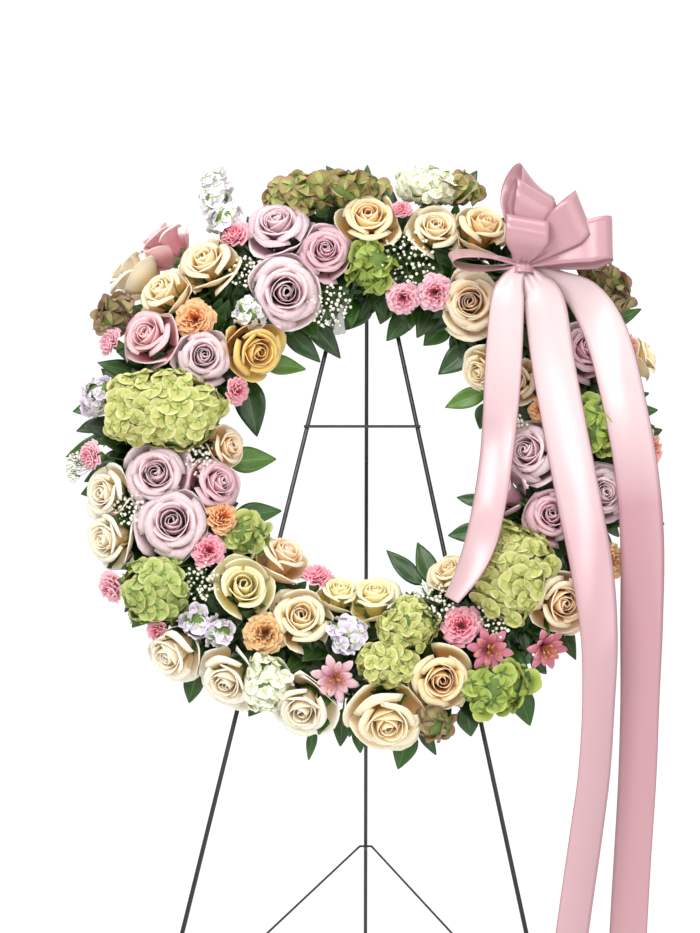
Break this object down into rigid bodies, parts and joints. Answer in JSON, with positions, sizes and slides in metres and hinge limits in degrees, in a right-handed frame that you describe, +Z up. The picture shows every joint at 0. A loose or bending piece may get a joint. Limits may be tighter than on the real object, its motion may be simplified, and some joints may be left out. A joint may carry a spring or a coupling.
{
  "type": "standing funeral wreath",
  "caption": "Round sympathy wreath of roses, hydrangeas, carnations and leaves with a satin bow, leaning on a folding wire easel.",
  "frame": {"origin": "on the floor, under the centre of the whole object's bounding box", "axes": "+Z up, -Y towards the viewer of the flowers, +X to the right as the picture shows it"},
  "size_m": [0.7384, 0.616, 1.3586],
  "materials": {
    "petals_cream": "soft petals",
    "petals_ivory": "soft petals",
    "petals_peach": "soft petals",
    "petals_yellow": "soft petals",
    "petals_mauve": "soft petals",
    "petals_pink": "soft petals",
    "florets_lime": "soft petals",
    "florets_white": "soft petals",
    "florets_antique": "soft petals",
    "petals_stock": "soft petals",
    "leaves": "glossy leaves",
    "satin": "pink satin ribbon",
    "easel_paint": "dark green gloss paint on steel wire",
    "foam": "wet floral foam",
    "tray": "moulded green plastic",
    "film": "clear wrapping film",
    "staple_wire": "bare steel wire"
  },
  "bodies": {
    "stand": {"cream_roses_top": "petals_cream", "cream_roses_right_inner": "petals_cream", "cream_roses_upper_left": "petals_cream", "cream_roses_lower_left": "petals_cream", "cream_roses_bottom": "petals_cream", "cream_rose_lower_inner": "petals_cream", "cream_rose_right_edge": "petals_cream", "ivory_roses_left": "petals_ivory", "ivory_roses_bottom_left": "petals_ivory", "ivory_rose_bottom": "petals_ivory", "peach_rose_by_bow": "petals_peach", "peach_rose_left_inner": "petals_peach", "peach_rose_right": "petals_peach", "yellow_rose": "petals_yellow", "mauve_roses_top": "petals_mauve", "mauve_rose_left_upper": "petals_mauve", "mauve_roses_left": "petals_mauve", "mauve_rose_right_upper": "petals_mauve", "mauve_roses_right": "petals_mauve", "pink_rose_left": "petals_pink", "pink_rose_upper_left": "petals_pink", "pink_carnations_top": "petals_pink", "green_hydrangea_left": "florets_lime", "green_hydrangea_right": "florets_lime", "green_hydrangea_lower_left": "florets_lime", "green_hydrangea_left_inner": "florets_lime", "green_hydrangea_bottom": "florets_lime", "white_hydrangea_top": "florets_white", "white_hydrangea_bottom": "florets_white", "antique_hydrangea_top": "florets_antique", "antique_hydrangea_inner": "florets_antique", "antique_hydrangea_lower_right": "florets_antique", "antique_hydrangea_upper_right": "florets_antique", "antique_hydrangea_right": "florets_antique", "stock_spike": "petals_stock", "greens_1": "leaves", "greens_2": "leaves", "greens_3": "leaves", "greens_4": "leaves", "greens_5": "leaves", "greens_6": "leaves", "greens_7": "leaves", "greens_8": "leaves", "ribbon_bow": "satin", "ribbon_tail_left": "satin", "ribbon_tail_middle": "satin", "ribbon_tail_right": "satin", "front_legs": "easel_paint", "crossbar": "easel_paint", "foam_ring": "foam", "ring_tray": "tray", "film_wrap": "film", "staple_upper_left": "staple_wire", "staple_upper_right": "staple_wire", "staple_lower_left": "staple_wire", "staple_lower_right": "staple_wire"},
    "back_leg": {"back_leg": "easel_paint", "hinge_eye": "easel_paint", "brace_eye": "easel_paint"},
    "brace": {"brace": "easel_paint"}
  },
  "joints": [
    {"name": "back_leg_fold", "type": "hinge", "parent": "stand", "child": "back_leg", "pos_m": [0.00277, -0.03512, 1.27159], "axis": [-1, 0, 0], "range_deg": [0, 26]},
    {"name": "brace_swing", "type": "hinge", "parent": "back_leg", "child": "brace", "pos_m": [0.00277, 0.17872, 0.45615], "axis": [1, 0, 0], "range_deg": [0, 84]}
  ],
  "couplings": [
    {"joint": "brace_swing", "follows": "back_leg_fold", "ratio": 3.2}
  ]
}
